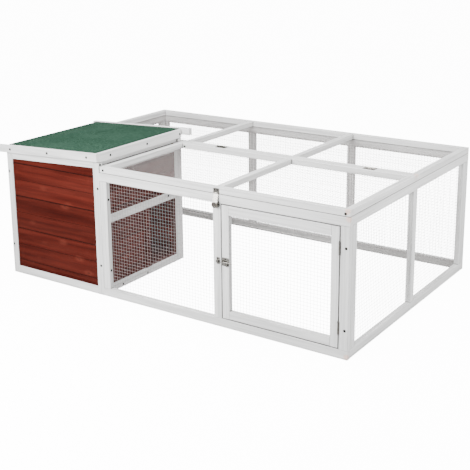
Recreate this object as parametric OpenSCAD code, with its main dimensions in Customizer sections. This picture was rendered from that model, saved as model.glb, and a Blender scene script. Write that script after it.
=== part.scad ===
// Outdoor rabbit run: a timber hutch with a felted lift-up roof, joined to a
// low run of white battens covered with welded wire mesh. The front half of
// the run's top is a hinged lid, and the front frame has a hinged door.
// Every drawn size is in millimetres. The plans are laid out from the
// hutch's front left corner on the ground, and place() moves them so that
// the origin is at the middle of the whole object's footprint.

/* [Overall size] */
// Length of the run and hutch together, along the front
run_l = 1570; // [1500:1:1680]
// Depth from the front frame to the back frame
run_d = 1045; // [960:1:1160]
// How far the run's top lies below the top of the hutch's low side
run_drop = 2.5; // [0:0.1:12]
// Length of the hutch along the front
hutch_l = 500; // [460:1:508]
// Depth of the hutch, which is also where the lid's seam lies
hutch_d = 520; // [490:1:560]

/* [Battens] */
// Width of the side frames' battens
bat_w = 33.5; // [28:0.5:38]
// Thickness of the side frames and of the hutch's walls
bat_t = 20; // [16:0.5:22]
// Width of the top frames' battens
top_w = 24; // [23:0.5:30]
// Thickness of the top frames
top_t = 23.5; // [20:0.5:24]
// Flat taken off each long edge of a batten
ease = 1; // [0.4:0.1:1.5]

/* [Run bays] */
// From the middle post's centre to the run's right end, at the front
door_bay = 523.6; // [500:0.1:540]
// Centre of the back frame's first inner post, from the left end
back_post_a = 527; // [480:1:560]
// Centre of the back frame's second inner post, from the left end
back_post_b = 1044; // [1000:1:1080]

/* [Lid] */
// Gap between the hutch and the lid's left end
lid_side_gap = 4; // [3:0.1:8]
// Gap between the closed lid and the side frames under it
lid_rest = 0.6; // [0.2:0.1:0.8]
// Gap along the seam between the lid and the fixed rear frame
seam_gap = 1.2; // [0.8:0.1:2]
// Centre of the lid's left hinge, from the hutch's left face
lid_hinge_a = 711; // [660:1:760]
// Centre of the lid's right hinge, from the hutch's left face
lid_hinge_b = 1384.5; // [1330:0.5:1430]

/* [Door] */
// Width of the door's stiles and bottom rail
door_w = 30; // [26:0.5:34]
// Width of the door's top rail
door_top_w = 35; // [28:0.5:42]
// Gap all round the door
door_gap = 3.9; // [3.4:0.1:5]
// From the door's end to the near end of each hinge
door_hinge_in = 50; // [35:1:90]

/* [Hutch walls] */
// Height of the hutch's walls at the low left side
hutch_h = 526; // [514:1:545]
// Rise of the roof over the hutch's length
roof_rise = 23.2; // [15:0.1:32]
// Width of the hutch's stiles
stile_w = 30; // [26:0.5:36]
// Underside of the middle rail in the wall towards the run
mid_rail_z = 285.5; // [250:0.5:320]
// Width of the top rail in the wall towards the run
right_rail_w = 32; // [26:0.5:40]
// Height of the air slot over that rail
slot_h = 5; // [3:0.5:8]
// Height of the plate over the slot
plate_h = 14.5; // [10:0.5:18]
// How far the plate lies behind the wall's face
plate_in = 8; // [4:0.5:10]
// Width of the rabbit doorway
doorway_w = 176; // [140:1:200]
// Width of the batten at the doorway's front edge
jamb_w = 30; // [20:1:36]
// Thickness of that batten
jamb_t = 8; // [5:0.5:10]

/* [Boards] */
// Height of one board, from joint to joint
board_p = 138.4; // [110:0.1:160]
// Thickness of the boards
board_t = 9; // [8:0.5:11]
// How far the boards lie behind the frame's face
board_in = 4; // [2:0.5:5]
// Height of the lowest joint between two boards
joint_z = 61.8; // [50:0.1:80]
// Depth and half width of the V-grooves
vee = 1.7; // [1:0.1:2.2]
// Height of the tongues
tongue = 4.5; // [3:0.1:6]
// How far the boards enter the frame's groove
seat = 5; // [3:0.5:8]

/* [Floor] */
// Thickness of the hutch's floor
floor_t = 9; // [6:0.5:12]
// Width of the two runners under the floor
runner_w = 20; // [15:1:30]

/* [Roof] */
// Thickness of the battens under the roof panel
rbat_t = 16; // [12:0.5:20]
// Width of the battens under the roof panel
rbat_w = 20; // [16:0.5:26]
// Thickness of the roof panel
panel_t = 9; // [6:0.5:12]
// Thickness of the felt
felt_t = 2.5; // [1.5:0.1:4]
// From the hutch's left face to the felt's left edge
felt_in = 20; // [10:1:30]
// Thickness of the fascia boards
fascia_t = 12; // [9:0.5:12.5]
// How far the front fascia board hangs below the battens
front_drop = 6.5; // [3:0.5:10]
// How far the right fascia board hangs below the battens
fascia_drop = 10; // [6:0.5:14]
// Gap between the right fascia and the wall below it
fascia_gap = 1.5; // [1:0.5:6]
// How far the right fascia stands proud of the wall below it
roof_over = 2.5; // [1:0.1:2.8]
// How far the front fascia sticks out past the hutch's left face
ear_l = 33; // [10:1:45]
// How far the back fascia sticks out past the hutch's right face
ear_r = 45; // [20:1:60]
// Height of the back fascia
back_fascia_h = 28.6; // [24:0.2:30]
// How far the back fascia stands above the roof panel
back_fascia_up = 5; // [3:0.1:7]
// Thickness of the back fascia
back_fascia_t = 18; // [14:0.5:22]
// Gap between the walls and the parts of the roof that hang past them
roof_gap = 1; // [0.5:0.1:1.5]

/* [Wire mesh] */
// Distance between the wires
mesh_pitch = 52; // [50:0.1:70]
// Thickness of the wires and of the sheet
wire = 1.2; // [1:0.1:1.6]
// Lap of the sheets on the side frames and on the door
mesh_lap = 11; // [6:0.5:12]
// Lap of the sheets on the top frames
top_lap = 3; // [2:0.1:3.5]

/* [Hinges] */
// Length of a hinge
hinge_l = 46; // [36:1:60]
// Width of the lid and door hinges' leaves, from the pin's axis
leaf_w = 17; // [12:0.5:19]
// Width of the roof hinges' leaves, from the pin's axis
roof_leaf_w = 14; // [9:0.5:15.5]
// Thickness of the leaves
leaf_t = 1.2; // [0.9:0.1:1.4]
// Radius of the knuckles
knuckle_r = 2.6; // [2.4:0.1:3.2]
// Radius of the hinge pins
pin_r = 1.25; // [1:0.05:1.6]
// From the hutch's front or back face to the near end of each roof hinge
roof_hinge_in = 70; // [40:1:150]

/* [Hasp] */
// Width of the hasp's plate and strap
hasp_w = 24; // [18:0.5:28]
// Height of the hasp's plate on the lid
hasp_plate_h = 17; // [12:0.5:18]
// From the strap's axis to its free end
strap_l = 53; // [50:0.5:60]
// From the strap's axis to the middle of its slot
slot_at = 41; // [38:0.5:42]
// Width of the strap's slot
slot_w = 5; // [4.6:0.1:6]
// Length of the strap's slot
slot_l = 16; // [15:0.5:18]
// How far the strap is lifted off the staple, in degrees
strap_tilt = 14; // [13:1:30]
// Width of the staple's plate
staple_w = 29; // [26:0.5:32]
// Height of the staple's plate
staple_h = 25; // [22:0.5:30]
// Length of the staple's wing
wing_l = 14; // [11:0.5:14]
// Width of the staple's wing
wing_w = 4.4; // [3.6:0.1:4.4]

/* [Barrel bolt] */
// Height of the bolt's axis above the ground
bolt_z = 253; // [200:1:300]
// Radius of the bolt
bolt_r = 2.5; // [2:0.1:3]
// How far the bolt slides
bolt_travel = 14.5; // [10:0.5:14.5]
// Length of the bolt's case along the bolt
case_l = 28.5; // [28.5:0.5:30]
// Height of the bolt's case
case_h = 30; // [24:1:36]
// Width of each guide loop and of the keeper's loop walls
loop_l = 4; // [3:0.5:4]
// Length of the keeper along the bolt
keeper_l = 13; // [12:0.5:16]
// Height of the keeper
keeper_h = 24; // [20:1:30]

/* [Fits] */
// Clearance of boards in their grooves and of the floor between the walls
fit = 0.2; // [0.15:0.01:0.3]
// Hairline joint between the pieces of one wall frame
joint = 0.2; // [0.1:0.05:0.3]
// Clearance of a pin or a bolt in its bore
run_fit = 0.06; // [0.03:0.01:0.09]
// End play between two knuckles
play = 0.4; // [0.3:0.05:0.6]

/* [Hidden] */

paint = "whitesmoke";
stain = "firebrick";
zinc = "silver";
cut = 1;

// The side frames' height follows from the hutch's
side_h = hutch_h - run_drop - top_t;

// Front frame
mid_x = run_l - door_bay;
open_x0 = mid_x + bat_w / 2;
open_x1 = run_l - bat_w;
rail_z1 = side_h - bat_w;

// Roof plane, through the roof hinges' axis
slope = roof_rise / hutch_l;
tilt = atan(slope);
roof_seat = 0.05;
function wall_top(x) = hutch_h - roof_seat + slope * (x + knuckle_r);
roof_x1 = hutch_l + roof_over - fascia_t;
notch_x = roof_x1 - roof_gap;
right_h = wall_top(roof_x1) - fascia_drop - fascia_gap;
plate_z0 = right_h - plate_h;
panel_w0 = rbat_t;
panel_w1 = rbat_t + panel_t;

// Lid and rear frame
lid_x0 = hutch_l + lid_side_gap;
lid_y1 = hutch_d - seam_gap;
seam_y = hutch_d - seam_gap / 2;
top_z = side_h + top_t;
lid_z0 = side_h + lid_rest;

// Door
door_x0 = open_x0 + door_gap;
door_x1 = open_x1 - door_gap;
door_z0 = bat_w + door_gap;
door_z1 = rail_z1 - door_gap;
door_axis_x = open_x1 - door_gap / 2;

// Hasp: its axis hangs just under the lid's front rail
hasp_z = side_h + knuckle_r;
strap_y = -knuckle_r;
wing_t = 4;
stem_r = 2;
stem_out = 3.8;

// Barrel bolt
bolt_y = -(leaf_t + bolt_r + 2.1);
case_x0 = door_x0 + 1;
case_x1 = case_x0 + case_l;
knob_r = 2;
knob_x = case_x1 - loop_l - knob_r - 0.3;
tip_x = door_x0 - 1.5;
bolt_end = case_x1 + bolt_travel + 1;
loop_r = bolt_r + 2;
keeper_x = mid_x + bat_w / 2 - 6 - keeper_l;

// Footprint of the whole object, and the move to its middle
foot_x0 = -knuckle_r - (ear_l - knuckle_r) * cos(tilt) - panel_w1 * sin(tilt);
foot_x1 = run_l;
foot_y0 = min(strap_y - strap_l * sin(strap_tilt) - leaf_t / 2 * cos(strap_tilt),
              -roof_gap - fascia_t);
foot_y1 = run_d;

module place() {
    translate([-(foot_x0 + foot_x1) / 2, -(foot_y0 + foot_y1) / 2, 0])
        children();
}

// ---- Battens ----

// Rectangle with its four corners taken off
module eased(a, b, e = ease) {
    polygon([[e, 0], [a - e, 0], [a, e], [a, b - e],
             [a - e, b], [e, b], [0, b - e], [0, e]]);
}
// Battens along X, Y and Z: from corner p, with their length and section
module bar_x(p, l, dy, dz, e = ease) {
    translate(p) rotate([90, 0, 90]) linear_extrude(l) eased(dy, dz, e);
}
module bar_y(p, l, dx, dz, e = ease) {
    translate([p[0], p[1] + l, p[2]])
        rotate([90, 0, 0]) linear_extrude(l) eased(dx, dz, e);
}
module bar_z(p, l, dx, dy, e = ease) {
    translate(p) linear_extrude(l) eased(dx, dy, e);
}
// Upright plate: an outline in X and Z, t thick from y
module slab(pts, y, t) {
    translate([0, y + t, 0]) rotate([90, 0, 0]) linear_extrude(t) polygon(pts);
}
function box2(x0, z0, x1, z1) = [[x0, z0], [x1, z0], [x1, z1], [x0, z1]];

// ---- Boards ----

// Section of one board: V-grooved face at y = 0, tongue up, groove down
module board_section() {
    h0 = joint / 2;
    h1 = board_p - joint / 2;
    m = board_p / 2;
    a = board_t * 0.36;
    b = board_t * 0.68;
    polygon([
        [0, h0 + vee], [0, m - vee], [vee, m], [0, m + vee],
        [0, h1 - vee], [vee, h1], [a, h1], [a, h1 + tongue],
        [b, h1 + tongue], [b, h1], [board_t, h1], [board_t, h0],
        [b + fit, h0], [b + fit, h0 + tongue + joint + fit],
        [a - fit, h0 + tongue + joint + fit], [a - fit, h0], [vee, h0]
    ]);
}
// Boards over x0 to x1, kept inside the outline pts
module boards(x0, x1, top, pts) {
    intersection() {
        for (k = [0 : ceil((top - joint_z) / board_p)])
            translate([x0 - cut, board_in, joint_z + (k - 1) * board_p])
                rotate([90, 0, 90])
                    linear_extrude(x1 - x0 + 2 * cut) board_section();
        slab(pts, 0, bat_t);
    }
}
module groove(pts) {
    slab(pts, board_in - fit, board_t + 2 * fit);
}

// Outline of the boarded field of the front and back walls, grown by g
function gable(g) = [
    [stile_w - g, bat_w - g],
    [hutch_l - stile_w + g, bat_w - g],
    [hutch_l - stile_w + g, wall_top(hutch_l - stile_w + g) - bat_w + g],
    [stile_w - g, wall_top(stile_w - g) - bat_w + g]
];
module gable_stiles() {
    sx = hutch_l - stile_w;
    difference() {
        union() {
            slab([[0, 0], [stile_w, 0], [stile_w, wall_top(stile_w)],
                  [0, wall_top(0)]], 0, bat_t);
            slab([[sx, 0], [hutch_l, 0], [hutch_l, right_h],
                  [notch_x, right_h], [notch_x, wall_top(notch_x)],
                  [sx, wall_top(sx)]], 0, bat_t);
        }
        groove(gable(seat + fit));
    }
}
module gable_rails() {
    x0 = stile_w + joint;
    x1 = hutch_l - stile_w - joint;
    difference() {
        union() {
            slab(box2(x0, 0, x1, bat_w), 0, bat_t);
            slab([[x0, wall_top(x0) - bat_w], [x1, wall_top(x1) - bat_w],
                  [x1, wall_top(x1)], [x0, wall_top(x0)]], 0, bat_t);
        }
        groove(gable(seat + fit));
    }
}
module gable_boards() {
    boards(stile_w - seat, hutch_l - stile_w + seat,
           wall_top(hutch_l), gable(seat));
}

// Side walls, drawn along X and turned into place; they fit between the
// front and back walls
side_l = hutch_d - 2 * bat_t;
function left_field(g) = box2(stile_w - g, bat_w - g,
                              side_l - stile_w + g, hutch_h - bat_w + g);
rail_top_z = plate_z0 - slot_h - right_rail_w;
mid_z1 = mid_rail_z + bat_w;
door_y0 = side_l - stile_w - doorway_w;
function upper_field(g) = box2(stile_w - g, mid_z1 - g,
                               side_l - stile_w + g, rail_top_z + g);
function lower_field(g) = box2(stile_w - g, bat_w - g, door_y0,
                               mid_rail_z + g);
module side_left() {
    translate([0, bat_t, 0]) mirror([1, -1, 0]) children();
}
module side_right() {
    translate([hutch_l, bat_t, 0]) rotate([0, 0, 90]) children();
}

module hutch_front_stiles() {
    color(paint) place() gable_stiles();
}
module hutch_front_rails() {
    color(paint) place() gable_rails();
}
module hutch_front_boards() {
    color(stain) place() gable_boards();
}
module at_back() {
    translate([0, hutch_d, 0]) mirror([0, 1, 0]) children();
}
module hutch_back_stiles() {
    color(paint) place() at_back() gable_stiles();
}
module hutch_back_rails() {
    color(paint) place() at_back() gable_rails();
}
module hutch_back_boards() {
    color(stain) place() at_back() gable_boards();
}
module hutch_left_stiles() {
    color(paint) place() side_left() difference() {
        for (x = [0, side_l - stile_w])
            slab(box2(x, 0, x + stile_w, hutch_h), 0, bat_t);
        groove(left_field(seat + fit));
    }
}
module hutch_left_rails() {
    color(paint) place() side_left() difference() {
        for (z = [0, hutch_h - bat_w])
            slab(box2(stile_w + joint, z, side_l - stile_w - joint,
                      z + bat_w), 0, bat_t);
        groove(left_field(seat + fit));
    }
}
module hutch_left_boards() {
    color(stain) place() side_left()
        boards(stile_w - seat, side_l - stile_w + seat, hutch_h,
               left_field(seat));
}
module hutch_right_stiles() {
    color(paint) place() side_right() difference() {
        for (x = [0, side_l - stile_w])
            slab(box2(x, 0, x + stile_w, plate_z0), 0, bat_t);
        groove(upper_field(seat + fit));
        groove(lower_field(seat + fit));
    }
}
// Three rails between the stiles, and the plate that lies on the stiles
module hutch_right_rails() {
    color(paint) place() side_right() difference() {
        union() {
            for (z = [[0, bat_w], [mid_rail_z, mid_z1],
                      [rail_top_z, plate_z0 - slot_h]])
                slab(box2(stile_w + joint, z[0], side_l - stile_w - joint,
                          z[1]), 0, bat_t);
            slab(box2(0, plate_z0, side_l, right_h),
                 plate_in, bat_t - plate_in);
        }
        groove(upper_field(seat + fit));
        groove(lower_field(seat + fit));
    }
}
module hutch_right_boards() {
    color(stain) place() side_right() {
        boards(stile_w - seat, side_l - stile_w + seat, right_h,
               upper_field(seat));
        boards(stile_w - seat, door_y0 + cut, mid_rail_z,
               lower_field(seat));
    }
}
// Upright batten on the boards' face, at the doorway's front edge
module doorway_jamb() {
    color(stain) place() side_right()
        bar_z([door_y0 - jamb_w, board_in - jamb_t, bat_w + joint],
              mid_rail_z - bat_w - 2 * joint, jamb_w, jamb_t);
}
module hutch_floor() {
    color("peru") place()
        translate([bat_t + fit, bat_t + fit, bat_w - floor_t])
            cube([hutch_l - 2 * bat_t - 2 * fit, side_l - 2 * fit, floor_t]);
}
module floor_runners() {
    color("peru") place()
        for (y = [bat_t + fit, hutch_d - bat_t - fit - runner_w])
            bar_x([bat_t + fit, y, 0], hutch_l - 2 * bat_t - 2 * fit,
                  runner_w, bat_w - floor_t);
}

// ---- Run: side frames ----

module run_front_rails() {
    color(paint) place()
        for (z = [0, rail_z1])
            bar_x([hutch_l, 0, z], run_l - hutch_l, bat_t, bat_w);
}
module run_front_posts() {
    color(paint) place()
        for (x = [hutch_l, mid_x - bat_w / 2, run_l - bat_w])
            bar_z([x, 0, bat_w], rail_z1 - bat_w, bat_w, bat_t);
}
module run_right_rails() {
    color(paint) place()
        for (z = [0, rail_z1])
            bar_y([run_l - bat_t, bat_t, z], run_d - 2 * bat_t,
                  bat_t, bat_w);
}
module run_right_posts() {
    color(paint) place()
        for (y = [bat_t, hutch_d - bat_w / 2, run_d - bat_t - bat_w])
            bar_z([run_l - bat_t, y, bat_w], rail_z1 - bat_w, bat_t, bat_w);
}
module run_back_rails() {
    color(paint) place()
        for (z = [0, rail_z1])
            bar_x([0, run_d - bat_t, z], run_l, bat_t, bat_w);
}
module run_back_posts() {
    color(paint) place()
        for (x = [0, back_post_a - bat_w / 2, back_post_b - bat_w / 2,
                  run_l - bat_w])
            bar_z([x, run_d - bat_t, bat_w], rail_z1 - bat_w, bat_w, bat_t);
}
module run_left_rails() {
    color(paint) place()
        for (z = [0, rail_z1])
            bar_y([0, hutch_d, z], run_d - bat_t - hutch_d, bat_t, bat_w);
}
module run_left_posts() {
    color(paint) place()
        for (y = [hutch_d, run_d - bat_t - bat_w])
            bar_z([0, y, bat_w], rail_z1 - bat_w, bat_t, bat_w);
}

// ---- Run: fixed rear top frame ----

module rear_top_rails() {
    color(paint) place()
        for (y = [hutch_d, run_d - top_w])
            bar_x([0, y, side_h], run_l, top_w, top_t);
}
module rear_top_bars() {
    color(paint) place()
        for (x = [0, back_post_a - top_w / 2, back_post_b - top_w / 2,
                  run_l - top_w])
            bar_y([x, hutch_d + top_w, side_h],
                  run_d - hutch_d - 2 * top_w, top_w, top_t);
}

// ---- Wire mesh ----

function cells(l) = max(1, round((l - wire) / mesh_pitch));
// Sheet of square gaps, w by h, one wire thick
module mesh_sheet(w, h) {
    nx = cells(w);
    ny = cells(h);
    px = (w - wire) / nx;
    py = (h - wire) / ny;
    gaps = [for (i = [0 : nx - 1], j = [0 : ny - 1]) [i * px, j * py]];
    pts = concat(
        [[0, 0], [w, 0], [w, h], [0, h]],
        [for (g = gaps, c = [[0, 0], [1, 0], [1, 1], [0, 1]])
            [g[0] + wire + c[0] * (px - wire),
             g[1] + wire + c[1] * (py - wire)]]);
    linear_extrude(wire) polygon(pts, concat(
        [[0, 1, 2, 3]],
        [for (n = [1 : len(gaps)]) [4 * n, 4 * n + 1, 4 * n + 2, 4 * n + 3]]));
}
// Upright sheets behind an opening: in the XZ plane from y, and in the YZ
// plane from x
module sheet_xz(x0, x1, y, z0, z1) {
    translate([x0, y + wire, z0]) rotate([90, 0, 0])
        mesh_sheet(x1 - x0, z1 - z0);
}
module sheet_yz(x, y0, y1, z0, z1) {
    translate([x, y0, z0]) rotate([90, 0, 90])
        mesh_sheet(y1 - y0, z1 - z0);
}
mesh_z0 = bat_w - mesh_lap;
mesh_z1 = rail_z1 + mesh_lap;

module front_mesh() {
    color(zinc) place()
        sheet_xz(hutch_l + bat_w - mesh_lap, mid_x - bat_w / 2 + mesh_lap,
                 bat_t, mesh_z0, mesh_z1);
}
module right_mesh() {
    color(zinc) place()
        sheet_yz(run_l - bat_t - wire, bat_t + bat_w - mesh_lap,
                 run_d - bat_t - bat_w + mesh_lap, mesh_z0, mesh_z1);
}
module back_mesh() {
    color(zinc) place()
        sheet_xz(bat_w - mesh_lap, run_l - bat_w + mesh_lap,
                 run_d - bat_t - wire, mesh_z0, mesh_z1);
}
module left_mesh() {
    color(zinc) place()
        sheet_yz(bat_t, hutch_d + bat_w - mesh_lap,
                 run_d - bat_t - bat_w + mesh_lap, mesh_z0, mesh_z1);
}
module rear_top_mesh() {
    color(zinc) place()
        translate([top_w - top_lap, hutch_d + top_w - top_lap,
                   side_h - wire])
            mesh_sheet(run_l - 2 * (top_w - top_lap),
                       run_d - hutch_d - 2 * (top_w - top_lap));
}

// ---- Hinges ----

seg = hinge_l / 3;
// The i-th of three knuckles, on the X axis
module knuckle(i) {
    translate([i * seg + play / 2, 0, 0]) rotate([0, 90, 0])
        cylinder(r = knuckle_r, h = seg - play, $fn = 40);
}
module hinge_pin(r, over) {
    translate([play / 2 - over, 0, 0]) rotate([0, 90, 0])
        cylinder(r = r, h = hinge_l - play + 2 * over, $fn = 40);
}
// Leaf that lies flat under the pin's axis and reaches w to one side
module flat_leaf(side, own, w) {
    root = knuckle_r + play;
    for (i = own) {
        knuckle(i);
        translate([i * seg + play / 2, side > 0 ? 0 : -root - 0.01,
                   -knuckle_r])
            cube([seg - play, root + 0.01, leaf_t]);
    }
    translate([play / 2, side > 0 ? root : -w, -knuckle_r])
        cube([hinge_l - play, w - root, leaf_t]);
}
// Leaf that stands on edge beside the pin's axis, in a gap of door_gap
module edge_leaf(side, own, w) {
    root = knuckle_r + play;
    y0 = side > 0 ? door_gap / 2 - leaf_t : -door_gap / 2;
    for (i = own) {
        knuckle(i);
        translate([i * seg + play / 2, y0, 0])
            cube([seg - play, leaf_t, root + 0.01]);
    }
    translate([play / 2, y0, root])
        cube([hinge_l - play, leaf_t, w - root]);
}
module fixed_half() {
    children();
    hinge_pin(pin_r, 0);
}
module moving_half() {
    difference() {
        children();
        hinge_pin(pin_r + run_fit, cut);
    }
}
module at_lid_hinges() {
    for (x = [lid_hinge_a, lid_hinge_b])
        translate([x - hinge_l / 2, seam_y, top_z + knuckle_r]) children();
}
module lid_hinge_fixed() {
    color(zinc) place() at_lid_hinges()
        fixed_half() flat_leaf(1, [0, 2], leaf_w);
}
module lid_hinge_moving() {
    color(zinc) place() at_lid_hinges()
        moving_half() flat_leaf(-1, [1], leaf_w);
}
// Upright hinges in the gap at the door's right side
module at_door_hinges() {
    for (z = [door_z0 + door_hinge_in, door_z1 - door_hinge_in - hinge_l])
        translate([door_axis_x, -knuckle_r, z + hinge_l])
            rotate([0, 90, 0]) rotate([90, 0, 0]) mirror([0, 0, 1])
                children();
}
module door_hinge_fixed() {
    color(zinc) place() at_door_hinges()
        fixed_half() edge_leaf(1, [0, 2], leaf_w);
}
module door_hinge_moving() {
    color(zinc) place() at_door_hinges()
        moving_half() edge_leaf(-1, [1], leaf_w);
}
// Hinges on the hutch's low side, their axis level with the walls' top
module at_roof_hinges() {
    for (y = [roof_hinge_in, hutch_d - roof_hinge_in - hinge_l])
        translate([-knuckle_r, y + hinge_l, hutch_h])
            rotate([90, 0, -90]) children();
}
module roof_hinge_fixed() {
    color(zinc) place() at_roof_hinges()
        fixed_half() flat_leaf(-1, [0, 2], roof_leaf_w);
}
module roof_hinge_moving() {
    color(zinc) place() roof_at() translate([0, 0, -hutch_h])
        at_roof_hinges() moving_half() flat_leaf(1, [1], roof_leaf_w);
}

// ---- Lid ----

module lid_rails() {
    color(paint) place()
        for (y = [0, lid_y1 - top_w])
            bar_x([lid_x0, y, lid_z0], run_l - lid_x0, top_w,
                  top_t - lid_rest);
}
module lid_bars() {
    color(paint) place()
        for (x = [lid_x0, mid_x - top_w / 2, run_l - top_w])
            bar_y([x, top_w, lid_z0], lid_y1 - 2 * top_w, top_w,
                  top_t - lid_rest);
}
module lid_mesh() {
    color(zinc) place()
        translate([lid_x0 + top_w - top_lap, top_w - top_lap, lid_z0 - wire])
            mesh_sheet(run_l - lid_x0 - 2 * (top_w - top_lap),
                       lid_y1 - 2 * (top_w - top_lap));
}

// ---- Hasp and turning staple ----

// Plate on the lid's front rail, with the strap's outer knuckles
hk = hasp_w / 3;
module hasp_knuckle(i) {
    translate([i * hk + play / 2, 0, 0]) rotate([0, 90, 0])
        cylinder(r = knuckle_r, h = hk - play, $fn = 40);
}
module at_hasp() {
    translate([mid_x - hasp_w / 2, strap_y, hasp_z]) children();
}
module hasp_plate() {
    root = knuckle_r + play;
    color(zinc) place() at_hasp() {
        for (i = [0, 2]) {
            hasp_knuckle(i);
            translate([i * hk + play / 2, knuckle_r - leaf_t, 0])
                cube([hk - play, leaf_t, root + 0.01]);
        }
        translate([play / 2, knuckle_r - leaf_t, root])
            cube([hasp_w - play, leaf_t, hasp_plate_h - root]);
        translate([play / 2, 0, 0]) rotate([0, 90, 0])
            cylinder(r = pin_r, h = hasp_w - play, $fn = 40);
    }
}
// Strap with a round end and a slot, hanging from the middle knuckle
module hasp_strap() {
    color(zinc) place() at_hasp() rotate([-strap_tilt, 0, 0]) difference() {
        union() {
            hasp_knuckle(1);
            translate([hasp_w / 2, leaf_t / 2, 0]) rotate([90, 0, 0])
                linear_extrude(leaf_t) difference() {
                    union() {
                        translate([-(hk - play) / 2, -root_z - 2])
                            square([hk - play, root_z + 2]);
                        translate([-hasp_w / 2 + 2, -root_z - 14])
                            square([hasp_w - 4, 14]);
                        translate([-hasp_w / 2 + 2, -strap_l + strap_end_r])
                            square([hasp_w - 4,
                                    strap_l - strap_end_r - root_z - 8]);
                        translate([0, -strap_l + strap_end_r])
                            circle(r = strap_end_r, $fn = 64);
                    }
                    translate([0, -slot_at]) slot2(slot_w, slot_l);
                }
        }
        translate([0, 0, 0]) rotate([0, 90, 0])
            cylinder(r = pin_r + run_fit, h = hasp_w, $fn = 40);
    }
}
root_z = knuckle_r + play;
strap_end_r = hasp_w / 2 + 0.5;
module slot2(w, l) {
    square([w, l - w], center = true);
    for (s = [-1, 1]) translate([0, s * (l - w) / 2]) circle(d = w, $fn = 32);
}
staple_z = hasp_z - slot_at;
module at_staple() {
    translate([mid_x, 0, staple_z]) rotate([90, 0, 0]) children();
}
// Oval plate on the middle post, with the hole that the staple turns in
module staple_plate() {
    color(zinc) place() at_staple() linear_extrude(leaf_t) difference() {
        rotate(90) slot2(staple_h, staple_w);
        circle(r = stem_r + run_fit, $fn = 40);
    }
}
// Stem and wing; the wing stands upright, in line with the slot
module turn_staple() {
    color(zinc) place() at_staple() {
        cylinder(r = stem_r, h = stem_out + 1, $fn = 40);
        translate([0, 0, stem_out]) linear_extrude(wing_t)
            slot2(wing_w, wing_l);
    }
}

// ---- Door ----

module door_stiles() {
    color(paint) place()
        for (x = [door_x0, door_x1 - door_w])
            bar_z([x, 0, door_z0], door_z1 - door_z0, door_w, bat_t);
}
module door_rails() {
    color(paint) place() {
        bar_x([door_x0 + door_w, 0, door_z0],
              door_x1 - door_x0 - 2 * door_w, bat_t, door_w);
        bar_x([door_x0 + door_w, 0, door_z1 - door_top_w],
              door_x1 - door_x0 - 2 * door_w, bat_t, door_top_w);
    }
}
module door_mesh() {
    color(zinc) place()
        sheet_xz(door_x0 + door_w - mesh_lap, door_x1 - door_w + mesh_lap,
                 bat_t, door_z0 + door_w - mesh_lap,
                 door_z1 - door_top_w + mesh_lap);
}

// ---- Barrel bolt ----

// Loop round the bolt, standing on its plate: l long along X
module bolt_loop(l) {
    h = -bolt_y - leaf_t;
    rotate([0, 90, 0]) cylinder(r = loop_r, h = l, $fn = 48);
    translate([0, 0, -loop_r]) cube([l, h + 0.01, 2 * loop_r]);
}
module bolt_case() {
    color(zinc) place() difference() {
        union() {
            translate([case_x0, -leaf_t, bolt_z - case_h / 2])
                cube([case_l, leaf_t, case_h]);
            for (x = [case_x0, case_x1 - loop_l])
                translate([x, bolt_y, bolt_z]) bolt_loop(loop_l);
        }
        translate([case_x0 - cut, bolt_y, bolt_z]) rotate([0, 90, 0])
            cylinder(r = bolt_r + run_fit, h = case_l + 2 * cut, $fn = 48);
    }
}
// The bolt is drawn back, so that the door is free
module bolt_rod() {
    color(zinc) place() translate([0, bolt_y, bolt_z]) {
        translate([tip_x, 0, 0]) rotate([0, 90, 0])
            cylinder(r = bolt_r, h = bolt_end - tip_x, $fn = 48);
        translate([knob_x, 0, -10]) cylinder(r = knob_r, h = 10, $fn = 40);
        translate([knob_x, 0, -12]) sphere(r = knob_r + 1.3, $fn = 32);
    }
}
// Bent strap over the bolt, open right through, on its plate
keeper_r = bolt_r + 0.6;
module bolt_keeper() {
    o = loop_r;
    i = keeper_r;
    color(zinc) place() {
        translate([keeper_x, -leaf_t, bolt_z - keeper_h / 2])
            cube([keeper_l, leaf_t, keeper_h]);
        translate([keeper_x + 3, 0, bolt_z]) rotate([90, 0, 90])
            linear_extrude(keeper_l - 3) polygon([
                [-leaf_t + 0.01, -o], [-leaf_t + 0.01, -i], [bolt_y - i, -i],
                [bolt_y - i, i], [-leaf_t + 0.01, i], [-leaf_t + 0.01, o],
                [bolt_y - o + ease, o], [bolt_y - o, o - ease],
                [bolt_y - o, ease - o], [bolt_y - o + ease, -o]]);
    }
}

// ---- Roof ----

// The roof is drawn level, with w = 0 at the battens' underside, and is
// turned to its slope about the hinges' axis
module roof_at() {
    translate([-knuckle_r, 0, hutch_h]) rotate([0, -tilt, 0])
        translate([knuckle_r, 0, 0]) children();
}
roof_y0 = -roof_gap;
roof_y1 = hutch_d + roof_gap;
module roof_battens() {
    color(paint) place() roof_at() {
        for (y = [roof_y0, roof_y1 - rbat_w])
            bar_x([0, y, 0], roof_x1, rbat_w, rbat_t);
        for (x = [0, roof_x1 - rbat_w])
            bar_y([x, roof_y0 + rbat_w + joint, 0],
                  roof_y1 - roof_y0 - 2 * rbat_w - 2 * joint,
                  rbat_w, rbat_t);
    }
}
module roof_panel() {
    color("burlywood") place() roof_at()
        translate([felt_in, roof_y0, panel_w0])
            cube([roof_x1 - felt_in, roof_y1 - roof_y0, panel_t]);
}
module roof_felt() {
    color("seagreen") place() roof_at()
        translate([felt_in, roof_y0, panel_w1])
            cube([roof_x1 - felt_in, roof_y1 - roof_y0, felt_t]);
}
module fascia_front() {
    color(paint) place() roof_at()
        bar_x([-ear_l, roof_y0 - fascia_t, -front_drop],
              roof_x1 + fascia_t + ear_l, fascia_t,
              panel_w1 + front_drop);
}
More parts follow.
